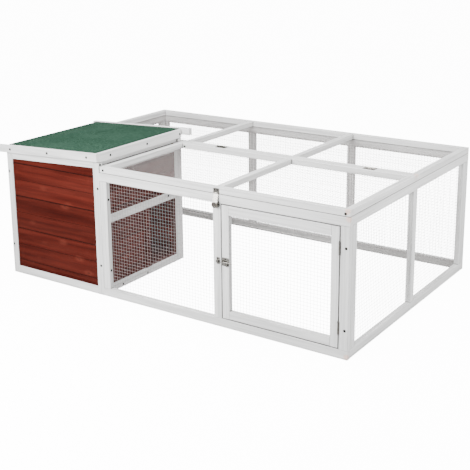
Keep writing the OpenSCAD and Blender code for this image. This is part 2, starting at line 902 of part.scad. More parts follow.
module fascia_right() {
    color(paint) place() roof_at()
        bar_y([roof_x1, roof_y0, -fascia_drop], roof_y1 - roof_y0,
              fascia_t, panel_w1 + fascia_drop);
}
module fascia_back() {
    color(paint) place() roof_at()
        bar_x([ease * 5, roof_y1, panel_w1 + back_fascia_up - back_fascia_h],
              hutch_l + ear_r - ease * 5, back_fascia_t, back_fascia_h);
}

hutch_front_stiles();
hutch_front_rails();
hutch_front_boards();
hutch_back_stiles();
hutch_back_rails();
hutch_back_boards();
hutch_left_stiles();
hutch_left_rails();
hutch_left_boards();
hutch_right_stiles();
hutch_right_rails();
hutch_right_boards();
doorway_jamb();
hutch_floor();
floor_runners();
run_front_rails();
run_front_posts();
run_right_rails();
run_right_posts();
run_back_rails();
run_back_posts();
run_left_rails();
run_left_posts();
rear_top_rails();
rear_top_bars();
front_mesh();
right_mesh();
back_mesh();
left_mesh();
rear_top_mesh();
lid_hinge_fixed();
door_hinge_fixed();
roof_hinge_fixed();
bolt_keeper();
staple_plate();
lid_rails();
lid_bars();
lid_mesh();
lid_hinge_moving();
hasp_plate();
hasp_strap();
turn_staple();
door_stiles();
door_rails();
door_mesh();
door_hinge_moving();
bolt_case();
bolt_rod();
roof_battens();
roof_panel();
roof_felt();
fascia_front();
fascia_right();
fascia_back();
roof_hinge_moving();
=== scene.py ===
import math

import bmesh
import bpy
from mathutils import Matrix, Vector


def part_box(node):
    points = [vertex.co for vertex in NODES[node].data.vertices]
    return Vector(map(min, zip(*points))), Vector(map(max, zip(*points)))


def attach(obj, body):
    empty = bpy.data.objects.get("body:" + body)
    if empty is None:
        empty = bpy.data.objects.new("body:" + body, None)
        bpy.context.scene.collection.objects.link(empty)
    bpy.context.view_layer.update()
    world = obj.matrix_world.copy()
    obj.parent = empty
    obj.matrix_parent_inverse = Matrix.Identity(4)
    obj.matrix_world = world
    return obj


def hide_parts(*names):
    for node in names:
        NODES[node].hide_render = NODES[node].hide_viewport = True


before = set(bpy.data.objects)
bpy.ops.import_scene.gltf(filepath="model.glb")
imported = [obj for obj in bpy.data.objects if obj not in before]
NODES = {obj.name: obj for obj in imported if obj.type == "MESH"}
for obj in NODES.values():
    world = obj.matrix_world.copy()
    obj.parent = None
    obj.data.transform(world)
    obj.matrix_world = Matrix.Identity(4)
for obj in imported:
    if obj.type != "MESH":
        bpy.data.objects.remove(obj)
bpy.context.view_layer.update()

# Plan of the run, in millimetres from the hutch's front left corner. MIDDLE
# is the middle of the whole object's footprint, where the frame has its origin.
MIDDLE = (767.93696, 514.49798)
HUTCH_L, HUTCH_D, HUTCH_H = 500.0, 520.0, 526.0
# Front posts' centres where the door closes, and the lid frame's top face
MID_X, TOP_Z = 1046.4, 523.5
# The roof rises over the hutch's length, and turns about its low edge
ROOF_RISE = 23.2
TILT = math.atan(ROOF_RISE / HUTCH_L)
PIVOT = (-2.6, 0.0, HUTCH_H)
# Wire and spacing of the welded mesh
WIRE, PITCH = 0.85, 13.0
# Lowest joint between two boards, and from one joint to the next
JOINT_Z, BOARD_P = 61.8, 138.4


def at(x, y, z):
    """A place on the plan, in the object's own metres."""
    return Vector(((x - MIDDLE[0]) / 1000, (y - MIDDLE[1]) / 1000, z / 1000))


def on_roof(u, v, w):
    """A place on the roof: u up the slope, v to the back, w above the battens."""
    c, s = math.cos(TILT), math.sin(TILT)
    u -= PIVOT[0]
    return at(PIVOT[0] + u * c - w * s, v, PIVOT[2] + u * s + w * c)


# ---- Modelling helpers ----


def clear():
    """Deselects everything."""
    bpy.ops.object.select_all(action="DESELECT")


def only(*objs):
    """Selects these objects alone and makes the first one active."""
    clear()
    for o in objs:
        o.select_set(True)
    bpy.context.view_layer.objects.active = objs[0]


def pick(obj, test, kind="FACE"):
    """In edit mode, selects the faces or edges that pass a test."""
    bpy.ops.mesh.select_mode(type=kind)
    bpy.ops.mesh.select_all(action="DESELECT")
    bm = bmesh.from_edit_mesh(obj.data)
    for item in bm.faces if kind == "FACE" else bm.edges:
        if test(item):
            item.select_set(True)
    bm.select_flush_mode()
    bmesh.update_edit_mesh(obj.data)


def settle(obj):
    """Puts an object's place and turn into its mesh."""
    only(obj)
    bpy.ops.object.transform_apply(location=True, rotation=True, scale=True)


def apply_all(obj):
    """Applies an object's modifiers in their order."""
    only(obj)
    for m in list(obj.modifiers):
        bpy.ops.object.modifier_apply(modifier=m.name)


def join(name, objs):
    """One named object from several."""
    only(*objs)
    if len(objs) > 1:
        bpy.ops.object.join()
    obj = bpy.context.object
    obj.name = obj.data.name = name
    return obj


def copies(name, master, places):
    """One copy of a small piece at each place, its +Z turned to the normal."""
    made = []
    for point, normal, spin in places:
        only(master)
        bpy.ops.object.duplicate(linked=False)
        o = bpy.context.object
        turn = Vector(normal).to_track_quat("Z", "Y").to_matrix().to_4x4()
        o.matrix_world = (
            Matrix.Translation(point) @ turn @ Matrix.Rotation(spin, 4, "Z")
        )
        made.append(o)
    obj = join(name, made)
    settle(obj)
    return obj


def remove(obj):
    only(obj)
    bpy.ops.object.delete()


def dress(obj, mat):
    """Gives an object one material."""
    obj.data.materials.clear()
    obj.data.materials.append(mat)


def finish_piece(obj, mat, body):
    """Dresses a new piece in one material and says what it rides on."""
    dress(obj, mat)
    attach(obj, body)


# ---- Material helpers ----


class Nodes:
    """Short calls for building one material's node tree."""

    def __init__(self, name):
        self.mat = bpy.data.materials.new(name)
        self.mat.use_nodes = True
        self.tree = self.mat.node_tree
        self.shader = self.tree.nodes["Principled BSDF"]
        self.coords = self.tree.nodes.new("ShaderNodeTexCoord")
        self.here = self.coords.outputs["Object"]

    def add(self, kind, links=(), **props):
        """A node with its properties set and its sockets fed."""
        n = self.tree.nodes.new("ShaderNode" + kind)
        for k, v in props.items():
            setattr(n, k, v)
        for socket, value in dict(links).items():
            self.feed(n.inputs[socket], value)
        return n

    def feed(self, socket, value):
        """Links another node's output to a socket, or sets a plain value."""
        if isinstance(value, bpy.types.NodeSocket):
            self.tree.links.new(value, socket)
        else:
            socket.default_value = value

    def place(self, scale, source=None):
        """Places on the piece, or from another source, stretched by a scale."""
        links = {"Vector": source or self.here, "Scale": scale}
        return self.add("Mapping", links).outputs[0]

    def noise(self, vector, scale, detail=3.0, rough=0.55, warp=0.0):
        links = {
            "Vector": vector, "Scale": scale, "Detail": detail,
            "Roughness": rough, "Distortion": warp,
        }
        return self.add("TexNoise", links).outputs["Fac"]

    def knots(self, scale, source=None):
        """The distance to the nearest knot."""
        links = {"Vector": self.place(scale, source), "Scale": 1.0}
        return self.add("TexVoronoi", links).outputs["Distance"]

    def ramp(self, fac, *stops):
        """Greys or colours between (position, value) stops."""
        n = self.add("ValToRGB", {"Fac": fac})
        e = n.color_ramp.elements
        while len(e) < len(stops):
            e.new(0.5)
        for item, (pos, colour) in zip(e, stops):
            item.position = pos
            c = colour if isinstance(colour, tuple) else (colour,) * 3
            item.color = (*c, 1)
        return n.outputs["Color"]

    def math(self, op, *values, clamp=False):
        n = self.add("Math", operation=op, use_clamp=clamp)
        for socket, value in zip(n.inputs, values):
            self.feed(socket, value)
        return n.outputs[0]

    def mix(self, fac, a, b, blend="MIX"):
        """Colour a turned towards colour b by a share."""
        n = self.add("Mix", {0: fac}, data_type="RGBA", blend_type=blend)
        # The Mix node's colours are its sockets 6 and 7, and its result 2
        for i, v in ((6, a), (7, b)):
            self.feed(n.inputs[i], (*v, 1) if isinstance(v, tuple) else v)
        return n.outputs[2]

    def multiply(self, colour, by):
        return self.mix(1.0, colour, by, "MULTIPLY")

    def axis(self, index, source="Object"):
        n = self.add("SeparateXYZ", {"Vector": self.coords.outputs[source]})
        return n.outputs[index]

    def facing(self, way, sign):
        """One on the faces that look along an axis to its signed end."""
        lean = self.math("MULTIPLY", self.axis(way, "Normal"), sign)
        return self.math("GREATER_THAN", lean, 0.5)

    def near(self, point, radius, soft):
        """One at a place, falling to nothing round it, with a broken edge."""
        away = self.add("VectorMath", {0: self.here, 1: point}, operation="DISTANCE")
        rag = self.noise(self.here, 160, 4)
        reach = self.math("MULTIPLY_ADD", rag, radius, radius * 0.4)
        left = self.math("SUBTRACT", reach, away.outputs["Value"])
        return self.math("DIVIDE", left, soft, clamp=True)

    def bump(self, height, strength, distance):
        links = {"Height": height, "Strength": strength, "Distance": distance}
        n = self.add("Bump", links)
        self.feed(self.shader.inputs["Normal"], n.outputs["Normal"])

    def set(self, **sockets):
        """Feeds the shader's own sockets and gives back the material."""
        for name, value in sockets.items():
            if isinstance(value, tuple):
                value = (*value, 1)
            self.feed(self.shader.inputs[name.replace("_", " ")], value)
        return self.mat


def stretched(grain, along, across):
    """A scale that is low along the grain's axis and high across it."""
    return tuple(along if i == grain else across for i in range(3))


# ---- Finishes ----

# Bare wood through rubbed paint, stain on the hutch's inner faces, painted shade
# on the rail in the air slot and on the lowest back rail, painted shade in
# corners and cracks, the paint itself, and the joints between the red boards
RUBBED = (0.60, 0.47, 0.42)
INNER_RED = (0.060, 0.0090, 0.0055)
# Dark of the painted shade in the air slot
SLOT_SHADE = (0.012, 0.011, 0.010)
# Grey of the painted shade on the lowest back rail
LOW_RAIL_SHADE = (0.40, 0.396, 0.388)
# Colour of the painted shade in corners and cracks
CREVICE_SHADE = (0.09, 0.085, 0.078)
WHITE = (0.60, 0.60, 0.595)
JOINT_DARK = (0.014, 0.0026, 0.0018)
# Refractive index of paint and stain
COAT = 1.46


def brushed_white(m, grain, streaks):
    """Uneven white: brush marks, clouds, ridges along the grain, faint knots."""
    paint = m.ramp(
        streaks, (0.25, (0.45, 0.455, 0.45)), (0.5, WHITE), (0.8, (0.66, 0.66, 0.655))
    )
    cloud = m.ramp(m.noise(m.here, 5, 3), (0.35, 0.0), (0.75, 0.45))
    paint = m.mix(cloud, paint, (0.54, 0.54, 0.53))
    ridge = m.noise(m.place(stretched(grain, 2.5, 85)), 1.0, 3, 0.5, 0.3)
    paint = m.multiply(paint, m.ramp(ridge, (0.35, 0.80), (0.55, 1.0)))
    knots = m.ramp(m.knots(stretched(grain, 5.5, 22)), (0.04, 0.30), (0.14, 0.0))
    return m.mix(knots, paint, (0.50, 0.45, 0.38))


def with_bare_wood(m, paint, grain, worn):
    """Paint worn thin at the sawn ends and at rubbed places."""
    end = m.math("GREATER_THAN", m.math("ABSOLUTE", m.axis(grain, "Normal")), 0.9)
    rag = m.ramp(m.noise(m.here, 220, 4), (0.3, 0.0), (0.7, 0.18))
    bare = m.math("MULTIPLY", end, rag)
    for point, radius in worn:
        bare = m.math("MAXIMUM", bare, m.near(at(*point), radius / 1000, 0.003))
    return m.mix(bare, paint, RUBBED)


def with_painted_shade(m, paint, seams):
    """Paint darkened in its corners and at each seam's crack, as painted shade."""
    wide = m.add("AmbientOcclusion", {"Distance": 0.02}, samples=8)
    tight = m.add("AmbientOcclusion", {"Distance": 0.004}, samples=8)
    ao_shade = m.math(
        "MAXIMUM",
        m.ramp(wide.outputs["AO"], (0.10, 0.95), (0.40, 0.55), (0.58, 0.0)),
        m.ramp(tight.outputs["AO"], (0.50, 0.95), (0.95, 0.0)),
    )
    paint = m.mix(ao_shade, paint, CREVICE_SHADE)
    # A line of painted shade along each seam's crack
    for height in seams:
        off = m.math("ABSOLUTE", m.math("SUBTRACT", m.axis(2), height))
        crack = m.ramp(m.math("MULTIPLY", off, 100), (0.08, 0.85), (0.17, 0.0))
        paint = m.mix(crack, paint, CREVICE_SHADE)
    return paint


def with_stains_and_shade(m, paint, stained, streaks):
    """Paint with some faces in another colour, streaked: stains and painted shade."""
    for way, sign, along, low, high, tint in stained:
        spot = m.axis(along)
        over = m.math("GREATER_THAN", spot, low)
        inside = m.math("MULTIPLY", over, m.math("LESS_THAN", spot, high))
        dark = tuple(0.6 * c for c in tint)
        stain = m.ramp(streaks, (0.3, dark), (0.7, tint))
        share = m.math("MULTIPLY", m.facing(way, sign), inside)
        paint = m.mix(share, paint, stain)
    return paint


def white_paint(name, grain, worn=(), stained=(), seams=()):
    """White paint brushed along the grain of a batten.

    worn gives rubbed places and their radius, in millimetres. stained gives
    faces by axis and sign, a range in metres on some axis, and their colour,
    stains on some and painted shade on others. seams gives the heights of
    cracks between two battens, in metres, where lines of painted shade are drawn.
    """
    m = Nodes(name)
    streaks = m.noise(m.place(stretched(grain, 5, 190)), 1.0, 5, 0.6, 0.4)
    paint = brushed_white(m, grain, streaks)
    paint = with_bare_wood(m, paint, grain, worn)
    paint = with_painted_shade(m, paint, seams)
    paint = with_stains_and_shade(m, paint, stained, streaks)
    fine = m.noise(m.place(stretched(grain, 25, 900)), 1.0, 4, 0.65)
    m.bump(fine, 0.22, 0.0004)
    rough = m.math("MULTIPLY_ADD", streaks, 0.22, 0.36)
    return m.set(Base_Color=paint, Roughness=rough, IOR=COAT)


def own_board(m, row):
    """Each board's own tone, and its own places in the grain."""
    chance = m.add("TexWhiteNoise", {"W": m.math("FLOOR", row)}, noise_dimensions="1D")
    jump = m.add(
        "VectorMath", {0: chance.outputs["Color"], "Scale": 3.0}, operation="SCALE"
    )
    own = m.add("VectorMath", {0: m.here, 1: jump.outputs[0]}, operation="ADD")
    return chance.outputs["Value"], own.outputs[0]


def stained_grain(m, grain, own, rings, fibre):
    """Stained wood in rings, fibres and streaks, with broad patches partly painted
    sheen.
    """
    wood = m.ramp(
        rings,
        (0.0, (0.041, 0.0042, 0.0023)),
        (0.5, (0.055, 0.0061, 0.0033)),
        (1.0, (0.072, 0.0098, 0.0056)),
    )
    wood = m.mix(m.ramp(fibre, (0.3, 0.5), (0.62, 0.0)), wood, (0.025, 0.0028, 0.0017))
    # Broad lighter patches: partly the wood's own tone, partly a painted sheen
    broad = m.noise(m.place(stretched(grain, 2.2, 9), own), 1.0, 3)
    wood = m.mix(m.ramp(broad, (0.35, 0.0), (0.75, 0.6)), wood, (0.086, 0.0152, 0.0101))
    streak = m.noise(m.place(stretched(grain, 3, 105), own), 1.0, 4, 0.6, 0.6)
    return m.multiply(wood, m.ramp(streak, (0.35, 0.72), (0.65, 1.0)))


def with_knots(m, wood, grain, own):
    """Knots in the boards: a dark core in a lighter ring that is a painted sheen."""
    knot = m.knots(stretched(grain, 6.5, 13), own)
    for core, share, rim, tint in (
        (0.08, 0.34, 0.20, (0.112, 0.0250, 0.0160)),
        (0.02, 0.70, 0.075, (0.018, 0.0032, 0.0020)),
    ):
        wood = m.mix(m.ramp(knot, (core, share), (rim, 0.0)), wood, tint)
    return wood


def with_joints(m, wood, row):
    """A dark joint at every board, stronger higher up, and a groove between."""
    strength = m.ramp(m.axis(2), (0.06, 0.40), (0.34, 1.0))
    for period, width, depth in ((1.0, 0.028, strength), (0.5, 0.030, 0.55)):
        part = m.math("FRACT", m.math("ADD", m.math("DIVIDE", row, period), 0.5))
        off = m.math("ABSOLUTE", m.math("SUBTRACT", part, 0.5))
        line = m.ramp(off, (width * 0.3, 0.92), (width, 0.0))
        wood = m.mix(m.math("MULTIPLY", line, depth), wood, JOINT_DARK)
    return wood


def red_boards(name, grain, inner=()):
    """Red-brown stain on boards: each board has its own grain, tone and knots.

    The faces in inner, by axis and sign, are lightened: painted light on
    inner faces that lie in shade.
    """
    m = Nodes(name)
    above = m.math("SUBTRACT", m.axis(2), JOINT_Z / 1000)
    row = m.math("DIVIDE", above, BOARD_P / 1000)
    tone, own = own_board(m, row)
    rings = m.add(
        "TexWave",
        {
            "Vector": m.place(stretched(grain, 1.1, 8), own), "Scale": 1.0,
            "Distortion": 11.0, "Detail": 4.0,
            "Detail Scale": 1.1, "Detail Roughness": 0.6,
        },
        bands_direction="Z",
    ).outputs["Fac"]
    fibre = m.noise(m.place(stretched(grain, 10, 420), own), 1.0, 5, 0.65)
    wood = stained_grain(m, grain, own, rings, fibre)
    wood = m.multiply(wood, m.ramp(tone, (0.0, 0.72), (1.0, 1.0)))
    wood = with_knots(m, wood, grain, own)
    wood = with_joints(m, wood, row)
    # Painted light: the wall's inner faces are lightened
    for way, sign in inner:
        wood = m.mix(m.facing(way, sign), wood, m.multiply(wood, (2.4, 2.0, 1.9)))
    m.bump(m.math("ADD", fibre, m.math("MULTIPLY", rings, 0.5)), 0.35, 0.0005)
    rough = m.math("MULTIPLY_ADD", fibre, 0.25, 0.42)
    return m.set(Base_Color=wood, Roughness=rough, IOR=COAT, Specular_IOR_Level=0.05)


def roofing_felt(name):
    """Green mineral grit on bitumen."""
    m = Nodes(name)
    grit = m.noise(m.here, 620, 2, 0.7)
    clump = m.noise(m.here, 120, 3)
    patch = m.noise(m.here, 7, 3)
    col = m.ramp(
        grit,
        (0.30, (0.005, 0.016, 0.010)),
        (0.52, (0.019, 0.045, 0.030)),
        (0.74, (0.068, 0.112, 0.082)),
    )
    col = m.mix(m.ramp(clump, (0.42, 0.0), (0.68, 0.75)), col, (0.007, 0.021, 0.014))
    col = m.mix(m.ramp(patch, (0.4, 0.0), (0.75, 0.45)), col, (0.031, 0.062, 0.044))
    m.bump(m.math("ADD", grit, m.math("MULTIPLY", clump, 0.6)), 0.6, 0.0008)
    return m.set(Base_Color=col, Roughness=0.93, Specular_IOR_Level=0.0)


def bare_wood(name, grain, painted=False):
    """Bare softwood, or if painted, wood that is bare on its underside alone."""
    m = Nodes(name)
    links = {
        "Vector": m.place(stretched(grain, 1.3, 24)), "Scale": 1.0,
        "Distortion": 6.0, "Detail": 3.0,
    }
    rings = m.add("TexWave", links).outputs["Fac"]
    fibre = m.noise(m.place(stretched(grain, 12, 500)), 1.0, 4, 0.6)
    col = m.ramp(rings, (0.0, (0.50, 0.34, 0.19)), (1.0, (0.66, 0.49, 0.30)))
    col = m.mix(m.ramp(fibre, (0.3, 0.4), (0.6, 0.0)), col, (0.36, 0.22, 0.11))
    if painted:
        col = m.mix(m.facing(2, -1), WHITE, col)
    m.bump(fibre, 0.3, 0.0004)
    return m.set(Base_Color=col, Roughness=0.72)


def galvanised(name):
    """Dull zinc on welded wire, slightly blotched."""
    m = Nodes(name)
    blotch = m.noise(m.here, 260, 3)
    col = m.ramp(blotch, (0.3, (0.23, 0.212, 0.206)), (0.7, (0.37, 0.341, 0.332)))
    rough = m.ramp(blotch, (0.3, 0.30), (0.7, 0.52))
    m.bump(m.noise(m.here, 1500, 2), 0.2, 0.0001)
    return m.set(Base_Color=col, Roughness=rough, Metallic=0.4)


def zinc_plate(name, grain=0, gain=1.0, dark_below=0.0):
    """Zinc on pressed steel, with faint rolling marks and handling.

    gain lightens its colour, which on the hasp's strap is a painted reflection.
    Below the height dark_below, in metres, it is darker.
    """
    m = Nodes(name)
    lines = m.noise(m.place(stretched(grain, 60, 2200)), 1.0, 3)
    smear = m.noise(m.here, 90, 4)
    dark = tuple(c * gain for c in (0.11, 0.105, 0.097))
    light = tuple(c * gain for c in (0.27, 0.26, 0.24))
    col = m.ramp(lines, (0.3, dark), (0.7, light))
    col = m.mix(m.ramp(smear, (0.5, 0.0), (0.8, 0.5)), col, (0.06, 0.053, 0.046))
    if dark_below:
        below = m.math("SUBTRACT", dark_below, m.axis(2))
        lower = m.math("DIVIDE", below, 0.003, clamp=True)
        col = m.mix(lower, col, (0.045, 0.040, 0.035))
    rough = m.ramp(smear, (0.3, 0.20), (0.8, 0.42))
    m.bump(lines, 0.15, 0.0001)
    return m.set(Base_Color=col, Roughness=rough, Metallic=1.0)


def screw_steel(name):
    """Dark passivated screw heads."""
    m = Nodes(name)
    smear = m.noise(m.here, 700, 3)
    col = m.ramp(smear, (0.3, (0.006, 0.0055, 0.005)), (0.75, (0.020, 0.018, 0.016)))
    m.bump(smear, 0.2, 0.0001)
    return m.set(Base_Color=col, Roughness=0.5, Specular_IOR_Level=0.15)


GRAIN = {"x": 0, "y": 1, "z": 2}
PAINT = {k: white_paint("white paint along " + k, i) for k, i in GRAIN.items()}
STAIN = {k: red_boards("red stain along " + k, i) for k, i in GRAIN.items()}
# Height of the crack between the lid and the frame under it, drawn in painted shade
LID_SEAM = [0.5003]
# Stained parts, and parts darkened with painted shade, as (axis, sign, axis of
# the range, low, high, colour)
LOW_LEDGE = (2, 1, 2, 0.0, 0.1, INNER_RED)
# The rail's top face in the air slot is darkened: painted shade
SLOT_FLOOR = (2, 1, 2, 0.505, 0.522, SLOT_SHADE)
DOORWAY_SIDE = (1, -1, 1, -0.1, 0.1, INNER_RED)
# The back frame's lowest rail is painted grey on the side inside the run: painted shade
SHADED_LOW_SIDE = (1, -1, 2, 0.0, 0.034, LOW_RAIL_SHADE)


def inner_face(way, sign):
    """The stained inner face of a hutch wall, up to the air slot."""
    return (way, sign, 2, 0.0, 0.5, INNER_RED)


SEAMED = white_paint("white paint along y, seamed", 1, seams=LID_SEAM)
GALVANISED = galvanised("galvanised wire")
ZINC = zinc_plate("zinc plate")
SCREW = screw_steel("dark screw steel")
FELT = roofing_felt("green mineral felt")

FINISHES = {
    "run_front_rails": white_paint(
        "white paint along x, rubbed corner", 0,
        worn=[((1566, 2, 492), 13), ((1567, 1, 10), 13)], seams=LID_SEAM,
    ),
    "lid_rails": white_paint(
        "white paint along x, rubbed", 0,
        worn=[((1560, 4, 518), 13), ((1566, 516, 520), 9)], seams=LID_SEAM,
    ),
    "rear_top_rails": white_paint(
        "white paint along x, rear rubbed", 0,
        worn=[((1564, 530, 520), 11)], seams=LID_SEAM,
    ),
    "run_back_rails": white_paint(
        "white paint along x, painted shade below", 0, stained=[SHADED_LOW_SIDE]
    ),
    "run_right_rails": SEAMED,
    "lid_bars": SEAMED,
    "rear_top_bars": SEAMED,
    "hutch_right_stiles": white_paint(
        "white paint along z, stained doorway", 2, stained=[DOORWAY_SIDE]
    ),
    "hutch_right_rails": white_paint(
        "white paint along y, stained doorway, shaded slot", 1, stained=[LOW_LEDGE, SLOT_FLOOR]
    ),
    "hutch_front_boards": STAIN["x"],
    "hutch_right_boards": STAIN["y"],
    "doorway_jamb": STAIN["z"],
    # The left and back walls' inner faces are lightened: painted light
    "hutch_left_boards": red_boards("red stain along y, left wall, painted light inside", 1, [(0, 1)]),
    "hutch_back_boards": red_boards("red stain along x, back wall, painted light inside", 0, [(1, -1)]),
    "hutch_floor": STAIN["x"],
    "roof_panel": bare_wood("plywood", 0, painted=True),
    "floor_runners": bare_wood("bare softwood", 1),
    # The hasp's strap is lightened as a painted reflection, and darker low down
    "hasp_strap": zinc_plate(
        "zinc plate with painted reflection", grain=2, gain=3.2, dark_below=0.4715
    ),
}
for wall, way, sign, along in (
    ("front", 1, 1, "x"), ("back", 1, -1, "x"), ("left", 0, 1, "y"),
):
    for part, grain in (("stiles", "z"), ("rails", along)):
        FINISHES[f"hutch_{wall}_{part}"] = white_paint(
            f"white paint along {grain}, {wall} stained inside", GRAIN[grain],
            stained=[inner_face(way, sign), LOW_LEDGE],
        )
for mat, names in (
    (PAINT["x"], "door_rails fascia_front fascia_back"),
    (PAINT["y"], "roof_battens fascia_right run_left_rails"),
    (PAINT["z"], "run_front_posts run_right_posts run_back_posts"),
    (PAINT["z"], "run_left_posts door_stiles"),
    (ZINC, "lid_hinge_fixed door_hinge_fixed roof_hinge_fixed bolt_keeper"),
    (ZINC, "lid_hinge_moving door_hinge_moving roof_hinge_moving bolt_case"),
    (ZINC, "staple_plate hasp_plate turn_staple bolt_rod"),
):
    FINISHES.update((n, mat) for n in names.split())
for name, mat in FINISHES.items():
    dress(NODES[name], mat)


# ---- Welded mesh ----

# How far a sheet wanders off its plane, in metres
SAG = 0.0016


def thin_axis(lo, hi):
    """The axis along which a box is thinnest."""
    return min(range(3), key=lambda i: hi[i] - lo[i])


def wires(run, lo, hi, level):
    """All the wires of a sheet that run one way, spaced across the other."""
    flat = thin_axis(lo, hi)
    across = ({0, 1, 2} - {run, flat}).pop()
    pitch = PITCH / 1000
    width = hi[across] - lo[across]
    count = int(width / pitch) + 1
    first = (width - (count - 1) * pitch) / 2
    spot = (lo + hi) / 2
    spot[flat] += level
    spot[across] = lo[across] + first
    turn = ((0, math.pi / 2, 0), (math.pi / 2, 0, 0), (0, 0, 0))[run]
    clear()
    bpy.ops.mesh.primitive_cylinder_add(
        vertices=6, radius=WIRE / 2000, depth=hi[run] - lo[run],
        location=spot, rotation=turn,
    )
    one = bpy.context.object
    settle(one)
    # Cuts along the wire let it follow the sheet's sag
    bpy.ops.object.mode_set(mode="EDIT")
    pick(one, lambda e: abs((e.verts[0].co - e.verts[1].co)[run]) > 0.02, "EDGE")
    bpy.ops.mesh.subdivide(number_cuts=5)
    bpy.ops.object.mode_set(mode="OBJECT")
    row = one.modifiers.new("row", "ARRAY")
    row.count = count
    row.use_relative_offset = False
    row.use_constant_offset = True
    step = [0.0, 0.0, 0.0]
    step[across] = pitch
    row.constant_offset_displace = step
    apply_all(one)
    return one


def mesh_sheet(name, node, body):
    """A sheet of square welded mesh in the place of a coarse one."""
    lo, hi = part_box(node)
    flat = thin_axis(lo, hi)
    ways = [i for i in range(3) if i != flat]
    # Welded, the two layers of wire sit a little into each other
    level = WIRE / 2000 * 0.8
    sheet = join(
        name, [wires(ways[0], lo, hi, level), wires(ways[1], lo, hi, -level)]
    )
    sag = bpy.data.textures.new(name + " sag", "CLOUDS")
    sag.noise_scale = 0.22
    sag.noise_depth = 1
    wave = sheet.modifiers.new("sag", "DISPLACE")
    wave.texture = sag
    wave.texture_coords = "LOCAL"
    wave.direction = "XYZ"[flat]
    wave.strength = SAG
    wave.mid_level = 0.5
    apply_all(sheet)
    finish_piece(sheet, GALVANISED, body)
    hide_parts(node)


for sheet, body in (
    ("front", "run"), ("right", "run"), ("back", "run"), ("left", "run"),
    ("rear_top", "run"), ("lid", "lid"), ("door", "door"),
):
    mesh_sheet(sheet + "_wire", sheet + "_mesh", body)


# ---- Roofing felt ----


def felt_sheet():
    """Felt laid on the roof panel, not quite flat, its edges cut square."""
    # Its edges up the slope and to the back, and its height over the battens
    low, high, front, back, over = 20.2, 490.3, -0.8, 520.8, 25.7
    clear()
    bpy.ops.mesh.primitive_grid_add(
        x_subdivisions=70, y_subdivisions=76, size=1.0,
        location=((low + high) / 2000, (front + back) / 2000, over / 1000),
    )
    felt = bpy.context.object
    felt.scale = ((high - low) / 1000, (back - front) / 1000, 1)
    settle(felt)
    ripple = bpy.data.textures.new("felt ripple", "CLOUDS")
    ripple.noise_scale = 0.07
    lift = felt.modifiers.new("ripple", "DISPLACE")
    lift.texture = ripple
    lift.texture_coords = "LOCAL"
    lift.direction = "Z"
    lift.strength = 0.0007
    lift.mid_level = 0.5
    thick = felt.modifiers.new("thickness", "SOLIDIFY")
    thick.thickness = 0.0013
    thick.offset = 1.0
    soft = felt.modifiers.new("edge", "BEVEL")
    soft.width = 0.0004
    soft.segments = 2
    soft.limit_method = "ANGLE"
    apply_all(felt)
    felt.matrix_world = (
        Matrix.Translation(at(*PIVOT))
        @ Matrix.Rotation(-TILT, 4, "Y")
        @ Matrix.Translation((-PIVOT[0] / 1000, 0, 0))
    )
    settle(felt)
    felt.name = felt.data.name = "felt_sheet"
    bpy.ops.object.shade_smooth_by_angle(angle=math.radians(40))
    finish_piece(felt, FELT, "roof")
    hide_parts("roof_felt")


felt_sheet()


# ---- Screws and staples ----


def screw_head(radius, rise):
    """A flat head with a turned edge and a cross recess, its top at +Z."""
    r, rise = radius / 1000, rise / 1000
    clear()
    bpy.ops.mesh.primitive_cylinder_add(vertices=16, radius=r, depth=2 * rise)
    head = bpy.context.object
    bpy.ops.object.mode_set(mode="EDIT")
    pick(head, lambda f: f.normal.z > 0.9)
    bpy.ops.mesh.inset(thickness=r * 0.22)
    bpy.ops.transform.translate(value=(0, 0, rise * 0.35))
    bpy.ops.object.mode_set(mode="OBJECT")
    arms = []
    for turn in (0, math.pi / 2):
        clear()
        bpy.ops.mesh.primitive_cube_add(
            size=1, rotation=(0, 0, turn), location=(0, 0, rise)
        )
        arm = bpy.context.object
        arm.scale = (r * 1.15, r * 0.26, 0.0009)
        settle(arm)
        arms.append(arm)
    for arm in arms:
        cut = head.modifiers.new("recess", "BOOLEAN")
        cut.object = arm
        cut.solver = "EXACT"
    apply_all(head)
    for arm in arms:
        remove(arm)
    only(head)
    bpy.ops.object.shade_smooth_by_angle(angle=math.radians(30))
    return head


def staple():
    """A wire staple: a crown with its two legs turned down into the batten."""
    clear()
    bpy.ops.mesh.primitive_cube_add(size=1)
    wire = bpy.context.object
    wire.scale = (0.0096, 0.0011, 0.0006)
    settle(wire)
    bpy.ops.object.mode_set(mode="EDIT")
    # The legs go out a little as they go down
    pick(wire, lambda f: abs(f.normal.x) > 0.9)
    bpy.ops.mesh.extrude_region_move(TRANSFORM_OT_translate={"value": (0, 0, 0)})
    bpy.ops.transform.resize(value=(1.12, 1, 1))
    bpy.ops.transform.translate(value=(0, 0, -0.0009))
    pick(wire, lambda e: e.calc_length() > 0.002, "EDGE")
    bpy.ops.mesh.bevel(offset=0.0002, segments=1)
    bpy.ops.object.mode_set(mode="OBJECT")
    return wire


FRONT, RIGHT, UP = (0, -1, 0), (1, 0, 0), (0, 0, 1)
BACK, LEFT, DOWN = (0, 1, 0), (-1, 0, 0), (0, 0, -1)
# Thickness of hinge leaves and plates, and the fittings' places on the plan
LEAF = 1.2
LID_LINE, LID_HINGES, ROOF_HINGES = 519.4, (711, 1384.5), (93, 427)
BOLT_Z, KEEPER_X, CASE_X = 253, 1050, 1082.05
HASP_Z, STAPLE_Z = 513.5, 461.6
# Front faces of the lid's back rail and of the roof's front fascia, and the
# right fascia's outer face up the slope
LID_BACK, FASCIA_Y, FASCIA_U = 518.8 - 24, -13.0, 502.5

# Radius and rise of the frames' screw heads and of the smaller ones in fittings
head = screw_head(4.8, 0.5)
small = screw_head(2.6, 0.35)


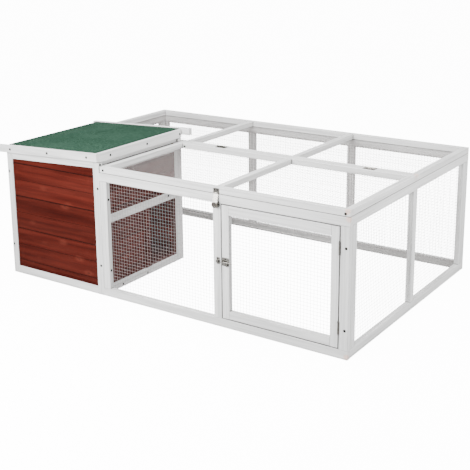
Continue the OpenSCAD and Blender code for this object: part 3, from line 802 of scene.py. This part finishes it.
def turned(points, normal):
    """Screw places on one side, each recess turned further than the last."""
    return [(p, normal, 0.7 * i) for i, p in enumerate(points)]


def pair(x, y, z, spread):
    """Two places side by side, each so far from their middle."""
    return [at(x - spread, y, z), at(x + spread, y, z)]


run_screws = turned(
    [at(7.5, 0, 439), at(7.5, 0, 125), at(490, 0, 434), at(490, 0, 122),
     at(1558, 0, 392), at(1558, 0, 104)],
    FRONT,
) + turned(
    [at(HUTCH_L, 8, 529), at(HUTCH_L, 424, 305), at(HUTCH_L, 115, 10),
     at(HUTCH_L, 272, 10), at(533.5, 10, 395), at(533.5, 10, 108)],
    RIGHT,
) + turned(
    [at(7.5, HUTCH_D, 439), at(7.5, HUTCH_D, 125), at(490, HUTCH_D, 434),
     at(490, HUTCH_D, 122)],
    BACK,
)
lid_screws = turned(
    [at(520, 0, 511), at(1553, 0, 509), at(538, LID_BACK, 509)], FRONT
)
roof_screws = turned(
    [on_roof(u, FASCIA_Y, 8) for u in (34, 242, 451)], FRONT
) + turned([on_roof(FASCIA_U, v, 6) for v in (68, 292, 510)], RIGHT)

fixed, moving = [], []
for x in LID_HINGES:
    fixed += pair(x, LID_LINE + 10.5, TOP_Z + LEAF, 14)
    moving += pair(x, LID_LINE - 10.5, TOP_Z + LEAF, 14)
staple_plate = pair(MID_X, -LEAF, STAPLE_Z, 10.5)
keeper = [at(KEEPER_X, -LEAF, BOLT_Z + dz) for dz in (-9.5, 9.5)]
case = [at(CASE_X, -LEAF, BOLT_Z + dz) for dz in (-11.5, 11.5)]
hasp = pair(MID_X, -LEAF, HASP_Z, 6)
roof_fixed = [
    at(-LEAF, y + dy, HUTCH_H - 9.5) for y in ROOF_HINGES for dy in (-14, 14)
]
for name, master, places, body in (
    ("run_screws", head, run_screws, "run"),
    ("lid_screws", head, lid_screws, "lid"),
    ("roof_screws", head, roof_screws, "roof"),
    ("run_hinge_screws", small, turned(fixed, UP)
     + turned(staple_plate + keeper, FRONT) + turned(roof_fixed, LEFT), "run"),
    ("lid_hinge_screws", small, turned(moving, UP) + turned(hasp, FRONT), "lid"),
    ("bolt_screws", small, turned(case, FRONT), "door"),
):
    finish_piece(copies(name, master, places), SCREW, body)
remove(head)
remove(small)


# From one staple to the next, and from a sheet's corner to the first
STAPLE_STEP, STAPLE_END = 105 / 1000, 30 / 1000


def spaced(a, b, step):
    """Even places from a to b, about a step apart."""
    n = max(2, round(abs(b - a) / step) + 1)
    return [a + (b - a) * i / (n - 1) for i in range(n)]


def round_sheet(node, inward, lap):
    """Staples along all four edges of a sheet, on the side it is fixed from.

    lap is how far in from the sheet's edge they go, in millimetres.
    """
    lo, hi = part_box(node)
    flat = thin_axis(lo, hi)
    a, b = [i for i in range(3) if i != flat]
    lap /= 1000
    face = (hi if inward[flat] > 0 else lo)[flat]
    out = []
    for along, other in ((a, b), (b, a)):
        first, last = lo[along] + STAPLE_END, hi[along] - STAPLE_END
        for edge in (lo[other] + lap, hi[other] - lap):
            for s in spaced(first, last, STAPLE_STEP):
                p = Vector((0, 0, 0))
                p[flat], p[along], p[other] = face, s, edge
                out.append((p, inward, 0.0 if along == a else math.pi / 2))
    return out


pin = staple()
for name, sheets, body in (
    (
        "run_staples",
        [("front_mesh", BACK, 5), ("right_mesh", LEFT, 5), ("back_mesh", FRONT, 5),
         ("left_mesh", RIGHT, 5), ("rear_top_mesh", DOWN, 1.5)],
        "run",
    ),
    ("lid_staples", [("lid_mesh", DOWN, 1.5)], "lid"),
    ("door_staples", [("door_mesh", BACK, 5)], "door"),
):
    places = [place for sheet in sheets for place in round_sheet(*sheet)]
    finish_piece(copies(name, pin, places), GALVANISED, body)
remove(pin)


# ---- Camera, floor and light ----

# The camera fitted to the photo: lens and sensor in millimetres, the shift of
# the picture, its place, and its right, up and back axes
LENS, SENSOR = 73.327, 36.0
SHIFT_X, SHIFT_Y = 0.00932, -0.1377
CAMERA_AT = (2.138151, -3.147779, 1.418554)
CAMERA_AXES = (
    (0.82725, 0.56175, -0.00984),
    (-0.13297, 0.21277, 0.96801),
    (0.54587, -0.79948, 0.25071),
)
# Light of the dome, and what the white backdrop adds for the camera alone
DOME, BACKDROP = 1.15, 13.0
# The soft lamps' places, watts, widths and heights, and where they aim
LAMPS = (
    ((-0.2, -1.95, 1.2), 100, 1.0, 0.8),
    ((2.1, 0.1, 0.9), 47, 1.2, 0.9),
    ((-0.1, -0.4, 2.5), 106, 2.2, 1.6),
)
AIM = Vector((0, 0, 0.25))


def studio():
    """The photo's camera, a pale floor, three lamps and a white dome."""
    clear()
    bpy.ops.object.camera_add()
    cam = bpy.context.object
    cam.data.lens, cam.data.sensor_width = LENS, SENSOR
    cam.data.shift_x, cam.data.shift_y = SHIFT_X, SHIFT_Y
    turn = Matrix(CAMERA_AXES).transposed().to_4x4()
    cam.matrix_world = Matrix.Translation(CAMERA_AT) @ turn
    bpy.context.scene.camera = cam

    bpy.ops.mesh.primitive_plane_add(size=40, location=(0, 0, -0.0002))
    floor = bpy.context.object
    floor.name = "floor"
    m = Nodes("pale floor")
    tone = m.ramp(m.noise(m.here, 1.5), (0.3, 0.35), (0.7, 0.37))
    seen = m.add("LightPath").outputs["Is Camera Ray"]
    dress(
        floor,
        m.set(
            Base_Color=tone, Roughness=0.9, Emission_Color=(1.0, 1.0, 1.0),
            Emission_Strength=m.math("MULTIPLY", seen, BACKDROP),
        ),
    )

    for place, power, size, tall in LAMPS:
        bpy.ops.object.light_add(type="AREA", location=place)
        lamp = bpy.context.object
        lamp.visible_camera = False
        lamp.data.shape = "RECTANGLE"
        lamp.data.energy, lamp.data.size, lamp.data.size_y = power, size, tall
        lamp.rotation_mode = "QUATERNION"
        lamp.rotation_quaternion = (AIM - Vector(place)).to_track_quat("-Z", "Y")

    world = bpy.data.worlds.new("soft studio")
    world.use_nodes = True
    sky = world.node_tree.nodes["Background"]
    sky.inputs["Color"].default_value = (1, 1, 1, 1)
    path = world.node_tree.nodes.new("ShaderNodeLightPath")
    level = world.node_tree.nodes.new("ShaderNodeMath")
    level.operation = "MULTIPLY_ADD"
    level.inputs[1].default_value = BACKDROP
    level.inputs[2].default_value = DOME
    link = world.node_tree.links.new
    link(path.outputs["Is Camera Ray"], level.inputs[0])
    link(level.outputs[0], sky.inputs["Strength"])
    bpy.context.scene.world = world


studio()
